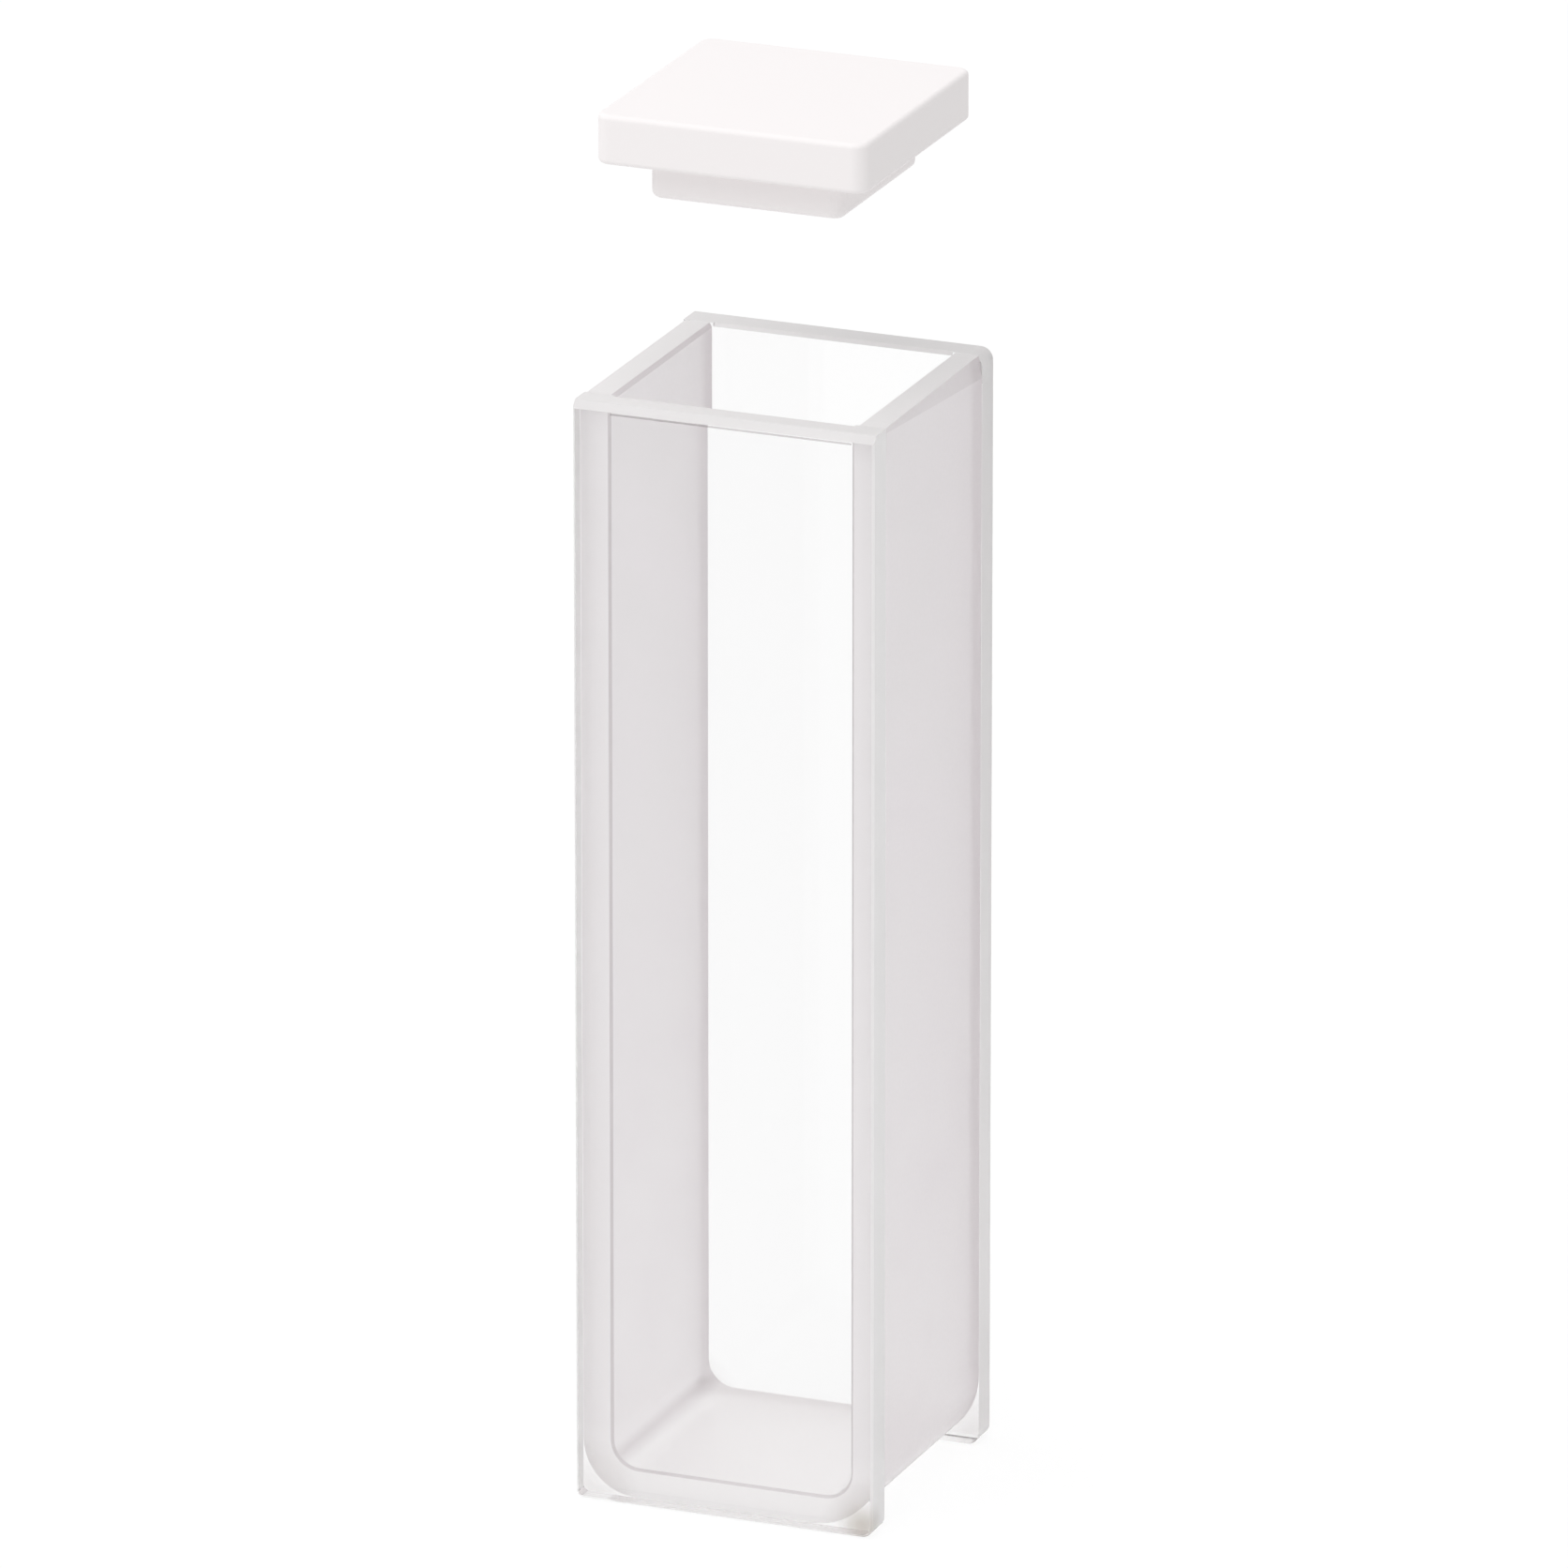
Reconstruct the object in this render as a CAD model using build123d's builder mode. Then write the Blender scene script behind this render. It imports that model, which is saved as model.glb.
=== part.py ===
"""Square optical cuvette: two clear windows fused to a ground U-shaped frame, with a lift-off lid.

X runs across the two frosted side walls, Y along the light path and Z up. The origin is the middle of
the base, on the surface the cell stands on. The lid is shown lifted off, straight above the mouth.
"""

import os

from build123d import *

# Cell, in millimetres
path_length = 10.0
cell_width = 12.5
cell_height = 45.0
window_thickness = 1.25
wall_thickness = 1.25
base_thickness = 1.2
bond_line = 0.02

# Bottom corners of the U, inside and outside. The outer two are ground by hand and differ.
inner_corner_radius = 1.1
left_corner_radius = 2.2
right_corner_radius = 2.9

# Ground edges of the U: the seams along the two windows, and the outer edges of the rim. The right wall's
# edge is ground steep and at a slant: its facet gets taller from the front of the cell to the rear, and its
# slope is how far it leans in for each millimetre of height.
seam_bevel = 0.1
left_rim_bevel = 0.1
right_rim_facet_front = 0.1
right_rim_facet_rear = 1.0
right_rim_slope = 0.15

# Lip: the bevel round the inside of the mouth, on the U and on the windows
lip_bevel = 0.15

# Windows: corners seen from the front, the arris round each outer face, and the front pane's top bevel
left_foot_radius = 0.3
right_foot_radius = 0.5
worn_corner_radius = 0.5
window_arris = 0.1
front_top_bevel = 0.3

# Lid: a flange that laps onto the rim and a plug that hangs in the mouth
flange_overlap = 0.6
flange_thickness = 2.0
flange_corner_radius = 0.6
flange_edge_radius = 0.2
plug_clearance = 1.0
plug_length = 1.65
plug_corner_radius = 0.5
plug_edge_radius = 0.3
lid_lift = 9.4

# Sizes that follow from the ones above
inner_width = cell_width - 2 * wall_thickness
frame_depth = path_length - 2 * bond_line
cell_depth = path_length + 2 * window_thickness
flange_width = inner_width + 2 * flange_overlap
flange_depth = path_length + 2 * flange_overlap
plug_width = inner_width - 2 * plug_clearance
plug_depth = path_length - 2 * plug_clearance
flange_underside = cell_height + lid_lift

# How far a cut runs past the face it opens, and how near counts as on a line
overrun = 1.0
on_line = 0.01

os.makedirs("parts", exist_ok=True)


def rests_on_seam(edge):
    """True for an edge on the inner outline of the U's end face, which runs along a window."""
    middle = edge.center()
    in_mouth = abs(middle.X) < inner_width / 2 + on_line
    return in_mouth and middle.Z > base_thickness - on_line


def top_corner(at, outward, drop, slope=1):
    """Corners of the triangle that a bevel takes off a top edge at this place, past both of its faces."""
    inner = at - outward * slope * (drop + overrun)
    outer = at + outward * slope * overrun
    return (
        (inner, cell_height + overrun),
        (outer, cell_height - drop - overrun),
        (outer, cell_height + overrun),
    )


# U frame: both side walls and the floor, ground from one piece
with BuildPart() as u_frame:
    with BuildSketch(Plane.XZ) as outline:
        Rectangle(cell_width, cell_height, align=(Align.CENTER, Align.MIN))
        fillet(outline.vertices().group_by(Axis.Y)[0].sort_by(Axis.X)[0], left_corner_radius)
        fillet(outline.vertices().group_by(Axis.Y)[0].sort_by(Axis.X)[-1], right_corner_radius)
    extrude(amount=frame_depth / 2, both=True)
    with BuildSketch(Plane.XZ) as cavity:
        with Locations((0, base_thickness)):
            Rectangle(inner_width, cell_height - base_thickness + overrun, align=(Align.CENTER, Align.MIN))
        fillet(cavity.vertices().group_by(Axis.Y)[0], inner_corner_radius)
    extrude(amount=frame_depth / 2 + overrun, both=True, mode=Mode.SUBTRACT)

    for end_face in u_frame.faces().filter_by(Axis.Y).sort_by(Axis.Y):
        chamfer(end_face.edges().filter_by(rests_on_seam), seam_bevel)
    chamfer(u_frame.edges().filter_by(Axis.Y).group_by(Axis.Z)[-1].sort_by(Axis.X)[1:-1], lip_bevel)
    chamfer(u_frame.edges().filter_by(Axis.Y).group_by(Axis.Z)[-1].sort_by(Axis.X)[0], left_rim_bevel)
    for side, facet in ((-1, right_rim_facet_front), (1, right_rim_facet_rear)):
        with BuildSketch(Plane.XZ.offset(-side * cell_depth / 2)):
            Polygon(*top_corner(cell_width / 2, 1, facet, right_rim_slope), align=None)
    loft(mode=Mode.SUBTRACT)

u_frame.part.label = "u_frame"
export_step(u_frame.part, "parts/u_frame.step")


# Windows: a clear pane on each end of the U, with an arris round its outer face and the lip inside its
# top edge. The front one faces -Y. The rear one has its right top corner worn round.
for name, side, right_top_radius, top_bevel in (
    ("front_window", -1, None, front_top_bevel),
    ("rear_window", 1, worn_corner_radius, None),
):
    with BuildPart() as window:
        with BuildSketch(Plane.XZ.offset(-side * path_length / 2)) as pane:
            Rectangle(cell_width, cell_height, align=(Align.CENTER, Align.MIN))
            fillet(pane.vertices().group_by(Axis.Y)[0].sort_by(Axis.X)[0], left_foot_radius)
            fillet(pane.vertices().group_by(Axis.Y)[0].sort_by(Axis.X)[-1], right_foot_radius)
            if right_top_radius:
                fillet(pane.vertices().group_by(Axis.Y)[-1].sort_by(Axis.X)[-1], right_top_radius)
        extrude(amount=-side * window_thickness)
        outer_face = window.faces().filter_by(Axis.Y).sort_by(Axis.Y)[0 if side < 0 else -1]
        chamfer(outer_face.edges(), window_arris)
        with BuildSketch(Plane.YZ):
            Polygon(*top_corner(side * path_length / 2, -side, lip_bevel), align=None)
        extrude(amount=inner_width / 2, both=True, mode=Mode.SUBTRACT)
        if top_bevel:
            with BuildSketch(Plane.YZ):
                Polygon(*top_corner(side * cell_depth / 2, side, top_bevel), align=None)
            extrude(amount=cell_width, both=True, mode=Mode.SUBTRACT)

    window.part.label = name
    export_step(window.part, f"parts/{name}.step")


# Lid: flange and plug moulded in one, with soft edges and a rounded lead-in under the plug
with BuildPart() as lid:
    with BuildSketch(Plane.XY.offset(flange_underside)):
        RectangleRounded(flange_width, flange_depth, flange_corner_radius)
    extrude(amount=flange_thickness)
    fillet(lid.faces().filter_by(Axis.Z).edges(), flange_edge_radius)
    with BuildSketch(Plane.XY.offset(flange_underside)):
        RectangleRounded(plug_width, plug_depth, plug_corner_radius)
    extrude(amount=-plug_length)
    fillet(lid.faces().sort_by(Axis.Z)[0].edges(), plug_edge_radius)

lid.part.label = "lid"
export_step(lid.part, "parts/lid.step")
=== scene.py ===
"""Square optical cuvette with its lid lifted off: materials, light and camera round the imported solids.

Everything is in metres, in the frame of the solids: Z up, the front window facing -Y, the lid above.
"""

import math

import bpy
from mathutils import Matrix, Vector


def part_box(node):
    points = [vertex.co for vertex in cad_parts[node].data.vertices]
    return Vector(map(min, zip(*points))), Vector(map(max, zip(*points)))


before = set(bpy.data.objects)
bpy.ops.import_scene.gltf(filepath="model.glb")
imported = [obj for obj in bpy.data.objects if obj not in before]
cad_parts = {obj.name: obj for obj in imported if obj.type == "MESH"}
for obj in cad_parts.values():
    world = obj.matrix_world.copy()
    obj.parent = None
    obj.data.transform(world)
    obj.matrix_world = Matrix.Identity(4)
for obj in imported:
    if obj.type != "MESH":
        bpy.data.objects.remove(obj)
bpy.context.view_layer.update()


# U frame: both side walls and the floor, cut from one block of glass and fine ground all over. Its two
# ends are fused to the windows, with a thin grey line along the inside of each seam. The rim and its bevels
# are ground last.
MM = 0.001


def linear(hex_colour):
    """An sRGB hex colour as linear red, green, blue and alpha."""
    parts = [int(hex_colour[i : i + 2], 16) / 255 for i in (1, 3, 5)]
    return [c / 12.92 if c <= 0.04045 else ((c + 0.055) / 1.055) ** 2.4 for c in parts] + [1.0]


def add_node(tree, kind, inputs=None, **settings):
    """Adds a node with its settings; an input that is a socket is linked, and any other is a value."""
    made = tree.nodes.new(kind)
    for name, value in settings.items():
        setattr(made, name, value)
    for name, value in (inputs or {}).items():
        if isinstance(value, bpy.types.NodeSocket):
            tree.links.new(value, made.inputs[name])
        else:
            made.inputs[name].default_value = value
    return made


def span(start, end):
    """The inputs that map a range, from none at its start to all at its end."""
    return {"From Min": start, "From Max": end}


def new_material(name):
    """An empty node material and its output node."""
    material = bpy.data.materials.new(name)
    material.use_nodes = True
    material.node_tree.nodes.clear()
    return material, add_node(material.node_tree, "ShaderNodeOutputMaterial")


def dress(piece, material):
    """Gives a piece this one material."""
    piece.data.materials.clear()
    piece.data.materials.append(material)


# Ground glass: light comes through scattered, so it is pale grey with a cool pink cast and no image. Painted
# shade makes it greyer along the rear seam and towards the top, where less light gets in, and greyest in the
# inside corners and on the slanted facet of the rim; painted light makes it paler on its level faces and at
# the foot of its ends. It is greyest in the seams. Grit of a tenth of a millimetre gives it a faint grain,
# drawn a little coarser than it is to show.
low_tint = linear("#F0EDEE")
# Painted shade: the walls are greyer towards the top.
painted_top_shade_tint = linear("#E5E2E3")
cloud_tint = linear("#EAE6E8")
# Painted shade: a greyer band along the rear seam.
shade_tint = linear("#E0DBDD")
end_tint = linear("#EEEBEC")
# Painted light: the ends are paler at their foot.
painted_foot_light_tint = linear("#F5F3F3")
# Painted light: the level faces are paler.
painted_level_light_tint = linear("#FAF8F8")
# Painted shade: the inside corners are greyer.
painted_crease_shade_tint = linear("#D9D3D5")
# Painted shade: the slanted facet of the rim is greyer.
painted_facet_shade_tint = linear("#D4D0D1")
seam_tint = linear("#CCC6C8")
lip_tint = linear("#D8D2D4")
rim_tint = linear("#E6E4E4")
glass_ior = 1.47
fine_ground = 0.36
coarse_ground = 0.44
grit = 0.16 * MM
cloud = 5 * MM
shade_width = 1.0 * MM
rim_depth = 1.0 * MM
rim_fade = 0.1 * MM
foot_height = 1.0 * MM
foot_fade = 2.0 * MM
frame_low, frame_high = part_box("u_frame")

# A face is told by how far its normal points along an axis: wholly on a face square to it, partly on a bevel
# and hardly on the slanted facet. A crease is the middle of an inside corner.
square_on = span(0.85, 0.95)
on_bevel = span(0.3, 0.5)
on_facet = span(0.06, 0.12)
on_floor = span(0.6, 0.95)
crease_slope = 0.6
crease_spread = 0.3
fading = {"To Min": 1.0, "To Max": 0.0}

ground_glass, output = new_material("ground_glass")
tree = ground_glass.node_tree
place = add_node(tree, "ShaderNodeTexCoord")
position = add_node(tree, "ShaderNodeSeparateXYZ", {"Vector": place.outputs["Object"]})
facing = add_node(tree, "ShaderNodeSeparateXYZ", {"Vector": place.outputs["Normal"]})
z_place = position.outputs["Z"]
z_facing = facing.outputs["Z"]
endwise = add_node(tree, "ShaderNodeMath", {0: facing.outputs["Y"]}, operation="ABSOLUTE").outputs[0]
steep = add_node(tree, "ShaderNodeMath", {0: z_facing}, operation="ABSOLUTE").outputs[0]

end = add_node(tree, "ShaderNodeMapRange", {"Value": endwise} | square_on).outputs[0]
seam = add_node(tree, "ShaderNodeMapRange", {"Value": endwise} | on_bevel).outputs[0]
flat = add_node(tree, "ShaderNodeMapRange", {"Value": steep} | on_floor).outputs[0]
height = add_node(
    tree, "ShaderNodeMapRange", {"Value": z_place} | span(frame_low[2], frame_high[2])
).outputs[0]
shade = add_node(
    tree,
    "ShaderNodeMapRange",
    {"Value": position.outputs["Y"]} | span(frame_high[1] - shade_width, frame_high[1]),
).outputs[0]
low = add_node(
    tree, "ShaderNodeMapRange", {"Value": z_place} | span(foot_height, foot_height + foot_fade) | fading
).outputs[0]
foot = add_node(tree, "ShaderNodeMath", {0: low, 1: end}, operation="MULTIPLY").outputs[0]
off_slope = add_node(tree, "ShaderNodeMath", {0: z_facing, 1: crease_slope}, operation="SUBTRACT").outputs[0]
off_slope = add_node(tree, "ShaderNodeMath", {0: off_slope}, operation="ABSOLUTE").outputs[0]
crease = add_node(
    tree, "ShaderNodeMapRange", {"Value": off_slope} | span(0.0, crease_spread) | fading
).outputs[0]

rim_bottom = frame_high[2] - rim_depth
above = add_node(
    tree, "ShaderNodeMapRange", {"Value": z_place} | span(rim_bottom - rim_fade, rim_bottom)
).outputs[0]
leaning = add_node(tree, "ShaderNodeMapRange", {"Value": z_facing} | on_facet).outputs[0]
tilted = add_node(tree, "ShaderNodeMapRange", {"Value": z_facing} | on_bevel).outputs[0]
level = add_node(tree, "ShaderNodeMapRange", {"Value": z_facing} | square_on).outputs[0]
facet = add_node(tree, "ShaderNodeMath", {0: above, 1: leaning}, operation="MULTIPLY").outputs[0]
lip = add_node(tree, "ShaderNodeMath", {0: above, 1: tilted}, operation="MULTIPLY").outputs[0]
rim = add_node(tree, "ShaderNodeMath", {0: above, 1: level}, operation="MULTIPLY").outputs[0]

clouds = add_node(
    tree,
    "ShaderNodeTexNoise",
    {"Vector": place.outputs["Object"], "Scale": 1 / cloud, "Detail": 2.0, "Roughness": 0.5},
)
cloudy = add_node(tree, "ShaderNodeMapRange", {"Value": clouds.outputs["Fac"]} | span(0.4, 0.7)).outputs[0]
grains = add_node(
    tree,
    "ShaderNodeTexNoise",
    {"Vector": place.outputs["Object"], "Scale": 1 / grit, "Detail": 2.0, "Roughness": 0.6},
)
roughness = add_node(
    tree,
    "ShaderNodeMapRange",
    {"Value": grains.outputs["Fac"], "To Min": fine_ground, "To Max": coarse_ground} | span(0.3, 0.7),
).outputs[0]

tint = low_tint
# Painted shade and painted light are mixed in here over the glass's own greys, in this order.
for mask, over in (
    (height, painted_top_shade_tint),
    (cloudy, cloud_tint),
    (shade, shade_tint),
    (seam, seam_tint),
    (end, end_tint),
    (foot, painted_foot_light_tint),
    (flat, painted_level_light_tint),
    (crease, painted_crease_shade_tint),
    (facet, painted_facet_shade_tint),
    (lip, lip_tint),
    (rim, rim_tint),
):
    tint = add_node(tree, "ShaderNodeMix", {"Factor": mask, 6: tint, 7: over}, data_type="RGBA").outputs[2]
clearness = 1.0
for mask, gain in ((end, -0.6), (seam, -0.2), (lip, -0.5), (rim, -0.4)):
    clearness = add_node(
        tree, "ShaderNodeMath", {0: mask, 1: gain, 2: clearness}, operation="MULTIPLY_ADD", use_clamp=True
    ).outputs[0]
glass = add_node(
    tree,
    "ShaderNodeBsdfPrincipled",
    {"Base Color": tint, "Roughness": roughness, "IOR": glass_ior, "Transmission Weight": clearness},
)
tree.links.new(glass.outputs[0], output.inputs["Surface"])
dress(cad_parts["u_frame"], ground_glass)


# Windows: two panes of clear optical glass, polished on both broad faces and fine ground round their edges,
# and fused to the ends of the U. The rear one is worn at its right top corner. The front one has a thin grey
# line inside, just below its top bevel, and a brownish patch of painted shade at its right foot.
# Polished glass: clear and colourless, with pale ground edges that glow softly; painted shade makes the
# edges of the rear pane greyer, most towards the top. The corners of the feet are a little greyer and hazy.
polish_tint = linear("#FCFCFC")
edge_tint = linear("#FAF9F9")
# Painted shade: the edges of the rear pane are greyer, most towards the top.
rear_low_shade_tint = linear("#F8F6F6")
rear_high_shade_tint = linear("#E6E4E4")
top_tint = linear("#E4E2E2")
haze_tint = linear("#EEECEC")
line_tint = linear("#AFA9AB")
worn_tint = linear("#D4D0D1")
# Painted shade: a brownish patch at the right foot of the front pane.
corner_shade_tint = linear("#BEB7AD")
haze_core = 0.72 * MM
haze_reach = 2.4 * MM
mouth_half = 5.0 * MM
line_drop = 0.64 * MM
line_width = 0.08 * MM
line_depth = 0.05 * MM
wear_drop = 0.5 * MM
wear_radius = 0.55 * MM
wear_fade = 0.1 * MM
corner_shade_inset = 0.45 * MM
corner_shade_rise = 0.5 * MM
corner_shade_radius = 1.2 * MM
window_low, window_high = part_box("front_window")
worn_corner = (frame_high[0], frame_high[1], frame_high[2] - wear_drop)
corner_shade_middle = (window_high[0] - corner_shade_inset, window_low[1], window_low[2] + corner_shade_rise)

polished_glass, output = new_material("polished_optical_glass")
tree = polished_glass.node_tree
place = add_node(tree, "ShaderNodeTexCoord")
position = add_node(tree, "ShaderNodeSeparateXYZ", {"Vector": place.outputs["Object"]})
facing = add_node(tree, "ShaderNodeSeparateXYZ", {"Vector": place.outputs["Normal"]})
y_place = position.outputs["Y"]
z_place = position.outputs["Z"]
sideways = add_node(tree, "ShaderNodeMath", {0: position.outputs["X"]}, operation="ABSOLUTE").outputs[0]
endwise = add_node(tree, "ShaderNodeMath", {0: facing.outputs["Y"]}, operation="ABSOLUTE").outputs[0]
steep = add_node(tree, "ShaderNodeMath", {0: facing.outputs["Z"]}, operation="ABSOLUTE").outputs[0]

edge = add_node(tree, "ShaderNodeMapRange", {"Value": endwise} | square_on | fading).outputs[0]
broad = add_node(tree, "ShaderNodeMath", {0: 1.0, 1: edge}, operation="SUBTRACT").outputs[0]
level = add_node(tree, "ShaderNodeMapRange", {"Value": steep} | on_bevel).outputs[0]
height = add_node(
    tree, "ShaderNodeMapRange", {"Value": z_place} | span(window_low[2], window_high[2])
).outputs[0]
above = add_node(tree, "ShaderNodeMath", {0: height, 1: 0.5}, operation="GREATER_THAN").outputs[0]
top = add_node(tree, "ShaderNodeMath", {0: level, 1: above}, operation="MULTIPLY").outputs[0]
under = add_node(tree, "ShaderNodeMath", {0: level, 1: top}, operation="SUBTRACT").outputs[0]
rear = add_node(tree, "ShaderNodeMath", {0: y_place, 1: 0.0}, operation="GREATER_THAN").outputs[0]
rear_edge = add_node(tree, "ShaderNodeMath", {0: rear, 1: edge}, operation="MULTIPLY").outputs[0]
# Painted shade on the edges of the rear pane, growing towards the top.
painted_rear_edge_shade = add_node(
    tree, "ShaderNodeMix", {"Factor": height, 6: rear_low_shade_tint, 7: rear_high_shade_tint}, data_type="RGBA"
).outputs[2]

outline = add_node(tree, "ShaderNodeCombineXYZ", {"X": sideways, "Z": z_place}).outputs[0]
from_foot = add_node(
    tree, "ShaderNodeVectorMath", {0: outline, 1: (window_high[0], 0, 0)}, operation="DISTANCE"
).outputs["Value"]
haze = add_node(
    tree, "ShaderNodeMapRange", {"Value": from_foot} | span(haze_core, haze_reach) | fading
).outputs[0]
haze = add_node(tree, "ShaderNodeMath", {0: haze, 1: broad}, operation="MULTIPLY").outputs[0]

line = add_node(tree, "ShaderNodeMath", {0: sideways, 1: mouth_half}, operation="LESS_THAN").outputs[0]
for along, middle, reach in (
    (y_place, window_high[1], line_depth),
    (z_place, window_high[2] - line_drop, line_width / 2),
):
    near = add_node(tree, "ShaderNodeMath", {0: along, 1: middle, 2: reach}, operation="COMPARE").outputs[0]
    line = add_node(tree, "ShaderNodeMath", {0: line, 1: near}, operation="MULTIPLY").outputs[0]

from_corner = add_node(
    tree, "ShaderNodeVectorMath", {0: place.outputs["Object"], 1: worn_corner}, operation="DISTANCE"
).outputs["Value"]
worn = add_node(
    tree, "ShaderNodeMapRange", {"Value": from_corner} | span(wear_radius, wear_radius + wear_fade) | fading
).outputs[0]
# Painted shade at the right foot of the front pane, soft edged.
from_corner_shade = add_node(
    tree, "ShaderNodeVectorMath", {0: place.outputs["Object"], 1: corner_shade_middle}, operation="DISTANCE"
).outputs["Value"]
corner_shade = add_node(
    tree,
    "ShaderNodeMapRange",
    {"Value": from_corner_shade} | span(0.0, corner_shade_radius) | fading,
    interpolation_type="SMOOTHSTEP",
).outputs[0]

tint = polish_tint
for mask, over in (
    (haze, haze_tint),
    (line, line_tint),
    (worn, worn_tint),
    (edge, edge_tint),
    (rear_edge, painted_rear_edge_shade),
    (under, polish_tint),
    (top, top_tint),
    (corner_shade, corner_shade_tint),
):
    tint = add_node(tree, "ShaderNodeMix", {"Factor": mask, 6: tint, 7: over}, data_type="RGBA").outputs[2]
clearness = 1.0
for mask, gain in ((haze, -0.1), (edge, -0.5), (under, 0.5), (top, -0.4), (worn, -0.9), (corner_shade, -0.12)):
    clearness = add_node(
        tree, "ShaderNodeMath", {0: mask, 1: gain, 2: clearness}, operation="MULTIPLY_ADD", use_clamp=True
    ).outputs[0]
roughness = 0.0
for mask, gain in ((edge, 0.4), (under, -0.25)):
    roughness = add_node(
        tree, "ShaderNodeMath", {0: mask, 1: gain, 2: roughness}, operation="MULTIPLY_ADD", use_clamp=True
    ).outputs[0]
glass = add_node(
    tree,
    "ShaderNodeBsdfPrincipled",
    {"Base Color": tint, "Roughness": roughness, "IOR": glass_ior, "Transmission Weight": clearness},
)
tree.links.new(glass.outputs[0], output.inputs["Surface"])
dress(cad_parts["front_window"], polished_glass)
dress(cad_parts["rear_window"], polished_glass)


# Lid: a square flange with a plug under it, moulded in one from white fluoropolymer. It is loose: the flange
# rests on the rim and the plug hangs in the mouth, and here it is lifted off.
# Fluoropolymer: white with a faint warm cast, soft edged and a little waxy, with a dull sheen.
polymer_tint = linear("#F8F4F4")

white_polymer, output = new_material("moulded_fluoropolymer")
tree = white_polymer.node_tree
polymer = add_node(
    tree,
    "ShaderNodeBsdfPrincipled",
    {"Base Color": polymer_tint, "Roughness": 0.45, "IOR": 1.38, "Specular IOR Level": 0.25},
)
tree.links.new(polymer.outputs[0], output.inputs["Surface"])
dress(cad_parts["lid"], white_polymer)


# Stage: a white paper floor a hair below the glass, which reads white and keeps a faint shadow.
paper_tint = linear("#F3F3F3")
shadow_tint = linear("#6F6F6F")
white_tint = linear("#FFFFFF")
paper_glow = 0.87
floor_size = 4.0
floor_drop = 0.05 * MM


def seen(tree):
    """Adds nodes that give 1 to what the eye sees, straight on or in or through the glass."""
    path = add_node(tree, "ShaderNodeLightPath")
    any_ray = path.outputs["Is Camera Ray"]
    for ray in ("Is Glossy Ray", "Is Transmission Ray"):
        either = {0: any_ray, 1: path.outputs[ray]}
        any_ray = add_node(tree, "ShaderNodeMath", either, operation="MAXIMUM").outputs[0]
    return any_ray


bpy.ops.object.select_all(action="DESELECT")
bpy.ops.mesh.primitive_plane_add(size=floor_size, location=(0, 0, -floor_drop))
floor = bpy.context.object
floor.name = "floor"
floor_paper, output = new_material("white_paper")
tree = floor_paper.node_tree
paper = add_node(tree, "ShaderNodeBsdfDiffuse", {"Color": paper_tint})
shadow_paper = add_node(tree, "ShaderNodeBsdfDiffuse", {"Color": shadow_tint})
glow = add_node(tree, "ShaderNodeEmission", {"Color": white_tint, "Strength": paper_glow})
shown = add_node(tree, "ShaderNodeAddShader", {0: shadow_paper.outputs[0], 1: glow.outputs[0]})
mixed = add_node(tree, "ShaderNodeMixShader", {0: seen(tree), 1: paper.outputs[0], 2: shown.outputs[0]})
tree.links.new(mixed.outputs[0], output.inputs["Surface"])
dress(floor, floor_paper)

# Room: dim and even all round, and white where it is seen.
room_light = 0.65

world = bpy.data.worlds.new("white_room")
bpy.context.scene.world = world
world.use_nodes = True
tree = world.node_tree
tree.nodes.clear()
output = add_node(tree, "ShaderNodeOutputWorld")
room = add_node(tree, "ShaderNodeBackground", {"Color": white_tint, "Strength": room_light})
white = add_node(tree, "ShaderNodeBackground", {"Color": white_tint, "Strength": 1.0})
mixed = add_node(tree, "ShaderNodeMixShader", {0: seen(tree), 1: room.outputs[0], 2: white.outputs[0]})
tree.links.new(mixed.outputs[0], output.inputs["Surface"])

# Softbox: wide and overhead, to the front and the left, so the right sides are a little greyer.
key_place = Vector((-0.12, -0.19, 0.44))
key_aim = Vector((0, 0, 0.03))

key_data = bpy.data.lights.new("overhead_softbox", "AREA")
key_data.shape = "SQUARE"
key_data.size = 0.6
key_data.energy = 1.36
key = bpy.data.objects.new("overhead_softbox", key_data)
bpy.context.collection.objects.link(key)
key.location = key_place
key.rotation_mode = "QUATERNION"
key.rotation_quaternion = (key_aim - key_place).to_track_quat("-Z", "Y")
key.visible_glossy = False
key.visible_transmission = False


# Camera: a long lens from the front right and above, as in the photograph.
view_azimuth = math.radians(22.08)
view_elevation = math.radians(18.75)
view_distance = 813.4 * MM
cell_middle = Vector((0, 0, 22.5 * MM))
aim_raise = 5.47 * MM
back = Vector(
    (
        math.sin(view_azimuth) * math.cos(view_elevation),
        -math.cos(view_azimuth) * math.cos(view_elevation),
        math.sin(view_elevation),
    )
)
right = Vector((math.cos(view_azimuth), math.sin(view_azimuth), 0))
up = back.cross(right)
camera_data = bpy.data.cameras.new("camera")
camera_data.lens = 479.7
camera_data.sensor_width = 36
camera = bpy.data.objects.new("camera", camera_data)
bpy.context.collection.objects.link(camera)
camera.location = cell_middle + up * aim_raise + back * view_distance
camera.rotation_mode = "QUATERNION"
camera.rotation_quaternion = (-back).to_track_quat("-Z", "Y")
bpy.context.scene.camera = camera
bpy.context.scene.view_settings.view_transform = "Standard"

# Light is followed through many panes and walls of glass before it is given up, and clear glass stays clear
# to light that has been scattered.
light_paths = bpy.context.scene.cycles
light_paths.max_bounces = 32
light_paths.diffuse_bounces = 12
light_paths.glossy_bounces = 24
light_paths.transmission_bounces = 32
light_paths.blur_glossy = 0.0
